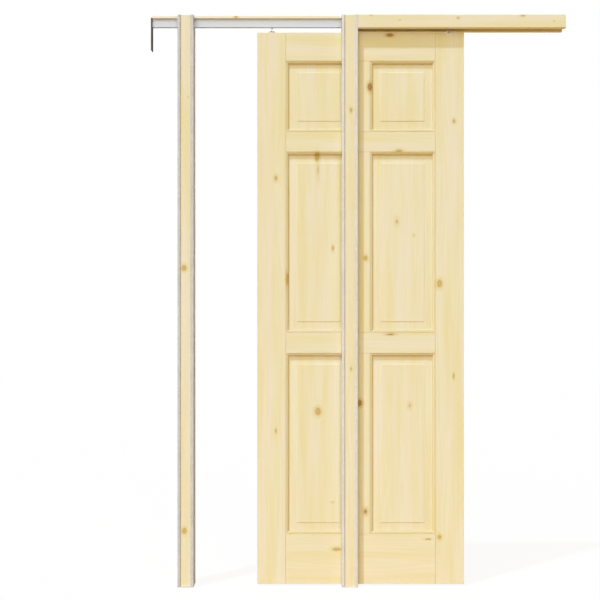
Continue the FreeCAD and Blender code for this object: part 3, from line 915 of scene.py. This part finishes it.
@dataclass(frozen=True)
class PanScrew:
    """Pan-head wood screw with a cross recess, seen from its head; sizes in millimetres.

    The outline gives the corners of the head's side, as shares of its radius and its height.
    """

    head_radius: float = 4.2
    head_height: float = 2.2
    outline: tuple[Pair, ...] = ((1.0, 0.0), (1.0, 0.35), (0.93, 0.7), (0.72, 1.0))
    recess_reach: float = 2.4
    recess_half: float = 0.55
    recess_depth: float = 1.2
    steps: int = 32

    def shape(self) -> bmesh.types.BMesh:
        """Make the head at the origin, standing on Z zero.

        Returns:
            The head, in metres.
        """
        shape = bmesh.new()
        profile = [(self.head_radius * across, self.head_height * up) for across, up in self.outline]
        line = [shape.verts.new((across * MM, 0.0, up * MM)) for across, up in profile]
        edges = [shape.edges.new(pair) for pair in zip(line, line[1:])]
        bmesh.ops.spin(shape, geom=line + edges, cent=(0, 0, 0), axis=(0, 0, 1), dvec=(0, 0, 0),
                       angle=2 * math.pi, steps=self.steps, use_merge=True)
        bmesh.ops.remove_doubles(shape, verts=shape.verts[:], dist=WELD)
        seat = [edge for edge in shape.edges
                if edge.is_boundary and all(vertex.co.z < SAME_PLACE for vertex in edge.verts)]
        bmesh.ops.edgeloop_fill(shape, edges=seat)
        top = self.head_height * MM
        rim = [edge for edge in shape.edges
               if edge.is_boundary and all(vertex.co.z > top - SAME_PLACE for vertex in edge.verts)]
        cross = self._cross(shape, top)
        bmesh.ops.triangle_fill(shape, edges=rim + list(cross.edges), use_beauty=True)
        floor = bmesh.ops.extrude_discrete_faces(shape, faces=[cross])["faces"]
        walls = bmesh.ops.extrude_face_region(shape, geom=floor)["geom"]
        sunk = [part for part in walls if isinstance(part, bmesh.types.BMVert)]
        bmesh.ops.translate(shape, verts=sunk, vec=(0, 0, -self.recess_depth * MM))
        bmesh.ops.delete(shape, geom=floor, context="FACES_ONLY")
        bmesh.ops.remove_doubles(shape, verts=shape.verts[:], dist=WELD)
        bmesh.ops.recalc_face_normals(shape, faces=shape.faces[:])
        return shape

    def _cross(self, shape: bmesh.types.BMesh, top: float) -> bmesh.types.BMFace:
        """Add the cross-shaped face of the recess.

        Args:
            shape: the head so far.
            top: height of the head, in metres.

        Returns:
            The cross.
        """
        reach, half = self.recess_reach * MM, self.recess_half * MM
        quarter = [(reach, -half), (reach, half), (half, half)]
        points = []
        for turn in range(4):
            spun = Matrix.Rotation(turn * math.pi / 2, 2)
            points += [spun @ Vector(point) for point in quarter]
        return shape.faces.new([shape.verts.new((point.x, point.y, top)) for point in points])


@dataclass(frozen=True)
class BoltThread:
    """Rolled thread round the shank of a hanging bolt; sizes in millimetres."""

    root: float = 2.5
    crest: float = 2.78
    pitch: float = 1.0
    sunk: float = 0.1
    foot_share: float = 0.46
    crest_share: float = 0.25
    steps: int = 20

    def shape(self, bottom: float, top: float) -> bmesh.types.BMesh:
        """Make the ridge of the thread round the Z axis.

        Args:
            bottom: height where the ridge starts, in metres.
            top: height where it ends, in metres.

        Returns:
            The ridge, in metres.
        """
        shape = bmesh.new()
        turns = int((top - bottom) / (self.pitch * MM)) - 1
        half = self.pitch * self.foot_share
        flat = half * self.crest_share
        inner = self.root - self.sunk
        profile = [(inner, -half), (self.crest, -flat), (self.crest, flat), (inner, half)]
        start = bottom + self.pitch * MM
        line = [shape.verts.new((across * MM, 0.0, start + up * MM)) for across, up in profile]
        edges = [shape.edges.new(pair) for pair in zip(line, line[1:] + line[:1])]
        steps = turns * self.steps
        bmesh.ops.spin(shape, geom=line + edges, cent=(0, 0, 0), axis=(0, 0, 1),
                       dvec=(0, 0, self.pitch * MM / self.steps), angle=turns * 2 * math.pi,
                       steps=steps)
        bmesh.ops.holes_fill(shape, edges=[edge for edge in shape.edges if edge.is_boundary])
        bmesh.ops.recalc_face_normals(shape, faces=shape.faces[:])
        return shape


@dataclass
class Hangers:
    """Plates, bolts, trolleys and wheels that carry the door."""

    zinc: ZincPlateFinish = field(default_factory=ZincPlateFinish)
    nylon: NylonFinish = field(default_factory=NylonFinish)
    screw: PanScrew = field(default_factory=PanScrew)
    thread: BoltThread = field(default_factory=BoltThread)
    ease_mm: float = 0.3
    plate_sheet_mm: float = 2.5
    foot_mm: float = 5.0
    nut_top_mm: float = 12.0
    first_turn: float = 0.4
    next_turn: float = 0.7

    def build(self) -> None:
        """Build the screws and threads, ease the pressed plates and dress the rest."""
        plated = self.zinc.make("zinc_plate")
        for side in ("left", "right"):
            dress(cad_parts[f"{side}_trolley_body"], plated)
            for kind in ("hanger_plate", "hanger_bolt"):
                node = f"{side}_{kind}"
                piece = eased_copy(node, node + "_eased", self.ease_mm, SHARP_EDGE)
                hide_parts(node)
                self._hang(piece, plated)
            self._thread(side, plated)
            self._screws(side, plated)
        dress(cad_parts["trolley_wheels"], self.nylon.make("moulded_nylon"))

    def _hang(self, piece: bpy.types.Object, plated: bpy.types.Material) -> None:
        """Put a plated piece on the door.

        Args:
            piece: the piece.
            plated: its material.
        """
        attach(piece, "door")
        dress(piece, plated)

    def _thread(self, side: str, plated: bpy.types.Material) -> None:
        """Cut the thread on one bolt, from its nut to the trolley.

        Args:
            side: left or right hanger.
            plated: material of the bolt.
        """
        door_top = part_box(f"{side}_hanger_plate")[0].z
        trolley_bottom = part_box(f"{side}_trolley_body")[0].z
        shape = self.thread.shape(door_top + self.nut_top_mm * MM, trolley_bottom)
        place = middle_of(f"{side}_hanger_bolt")
        bmesh.ops.translate(shape, verts=shape.verts[:], vec=(place.x, place.y, 0.0))
        self._hang(finish_mesh(shape, f"{side}_bolt_thread", SHARP_EDGE), plated)

    def _screws(self, side: str, plated: bpy.types.Material) -> None:
        """Set a screw in each foot of one plate.

        Args:
            side: left or right hanger.
            plated: material of the screws.
        """
        low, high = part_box(f"{side}_hanger_plate")
        top = low.z + self.plate_sheet_mm * MM
        feet = {"first": low.x + self.foot_mm * MM, "second": high.x - self.foot_mm * MM}
        for number, (name, across) in enumerate(feet.items()):
            shape = self.screw.shape()
            turn = Matrix.Rotation(self.first_turn + self.next_turn * number, 3, "Z")
            bmesh.ops.rotate(shape, verts=shape.verts[:], cent=(0, 0, 0), matrix=turn)
            bmesh.ops.translate(shape, verts=shape.verts[:], vec=(across, 0.0, top))
            self._hang(finish_mesh(shape, f"{side}_{name}_plate_screw", SHARP_EDGE), plated)


@dataclass(frozen=True)
class Lamp:
    """A distant lamp: the way its light travels, its colour, strength and apparent width."""

    name: str
    direction: tuple[float, float, float]
    colour: str
    share: float
    wide: float

    def build(self) -> None:
        """Add the lamp; a share of one lights a white surface that faces it to white."""
        data = bpy.data.lights.new(self.name, "SUN")
        data.energy = self.share * math.pi
        data.angle = math.radians(self.wide)
        data.color = to_linear(self.colour)[:3]
        lamp = bpy.data.objects.new(self.name, data)
        lamp.rotation_euler = Vector(self.direction).to_track_quat("-Z", "Y").to_euler()
        bpy.context.scene.collection.objects.link(lamp)


@dataclass
class Studio:
    """Camera, lamps, floor and world, in the same frame as the object."""

    camera_place: tuple[float, float, float] = (-0.1833, -4.7535, 1.0536)
    lens_mm: float = 77.1
    sensor_mm: float = 36.0
    lamps: tuple[Lamp, ...] = (
        Lamp("key_lamp", (0.296, 0.338, -0.893), "#B9D3FF", 1.08, 2.5),
        Lamp("front_fill", (0.15, 0.81, -0.567), "#F6FEFF", 0.595, 60.0),
        Lamp("back_fill", (0.0, -0.985, -0.17), "#F8FAFF", 0.7, 60.0),
        Lamp("side_fill", (-0.97, 0.0, -0.243), "#FAFCFF", 0.15, 40.0),
    )
    ambient: float = 0.14
    surround: str = "#FFF2DB"
    floor_half: float = 12.0
    floor_bounce: str = "#C69B56"
    floor_white: str = "#F3E2CC"
    shadow_share: float = 0.08
    paper: str = "#FFFFFF"

    def build(self) -> None:
        """Build the whole studio."""
        self._camera()
        for lamp in self.lamps:
            lamp.build()
        self._world()
        self._floor()
        bpy.context.scene.view_settings.view_transform = "Standard"

    def _camera(self) -> None:
        """Set the camera level in front of the door, where the photograph was taken."""
        data = bpy.data.cameras.new("camera")
        data.lens = self.lens_mm
        data.sensor_width = self.sensor_mm
        camera = bpy.data.objects.new("camera", data)
        camera.location = self.camera_place
        camera.rotation_euler = (math.pi / 2, 0.0, 0.0)
        bpy.context.scene.collection.objects.link(camera)
        bpy.context.scene.camera = camera

    def _seen_directly(self, tree: Tree) -> Socket:
        """Tell the rays that show the background itself: from the camera, in gloss or through glass.

        Args:
            tree: node tree of the floor or of the world.

        Returns:
            One for such rays, or else zero.
        """
        rays = add_node(tree, "LightPath")
        first = add_node(tree, "Math", {0: rays.outputs["Is Camera Ray"], 1: rays.outputs["Is Glossy Ray"]},
                         operation="MAXIMUM")
        return add_node(tree, "Math", {0: first.outputs[0], 1: rays.outputs["Is Transmission Ray"]},
                        operation="MAXIMUM").outputs[0]

    def _world(self) -> None:
        """Make a white surround that lights the object softly."""
        world = bpy.data.worlds.new("studio")
        world.use_nodes = True
        bpy.context.scene.world = world
        tree = world.node_tree
        tree.nodes.clear()
        soft = add_node(tree, "Background", {"Color": to_linear(self.surround), "Strength": self.ambient})
        white = add_node(tree, "Background", {"Color": to_linear(self.paper), "Strength": 1.0})
        mix = add_node(tree, "MixShader", {0: self._seen_directly(tree), 1: soft.outputs[0],
                                           2: white.outputs[0]})
        add_node(tree, "OutputWorld", {"Surface": mix.outputs[0]})

    def _floor(self) -> None:
        """Lay a white floor that keeps a pale shadow."""
        shape = bmesh.new()
        bmesh.ops.create_grid(shape, x_segments=1, y_segments=1, size=self.floor_half)
        floor = finish_mesh(shape, "floor", FLAT_UNDER)
        material = bpy.data.materials.new("white_floor")
        material.use_nodes = True
        tree = material.node_tree
        tree.nodes.clear()
        bounce = add_node(tree, "BsdfDiffuse", {"Color": to_linear(self.floor_bounce)})
        white = add_node(tree, "BsdfDiffuse", {"Color": to_linear(self.floor_white)})
        glow = add_node(tree, "Emission", {"Color": to_linear(self.paper), "Strength": 1.0})
        pale = add_node(tree, "MixShader", {0: self.shadow_share, 1: glow.outputs[0], 2: white.outputs[0]})
        mix = add_node(tree, "MixShader", {0: self._seen_directly(tree), 1: bounce.outputs[0],
                                           2: pale.outputs[0]})
        add_node(tree, "OutputMaterial", {"Surface": mix.outputs[0]})
        dress(floor, material)


def main() -> None:
    """Build the studio and every sub-assembly, in order."""
    logging.basicConfig(level=logging.INFO, format="%(name)s: %(message)s")
    Studio().build()
    for assembly in (Header(), SplitStuds(), DoorLeaf(), Hangers()):
        assembly.build()
        LOG.info("%s built", type(assembly).__name__)


if __name__ == "__main__":
    main()
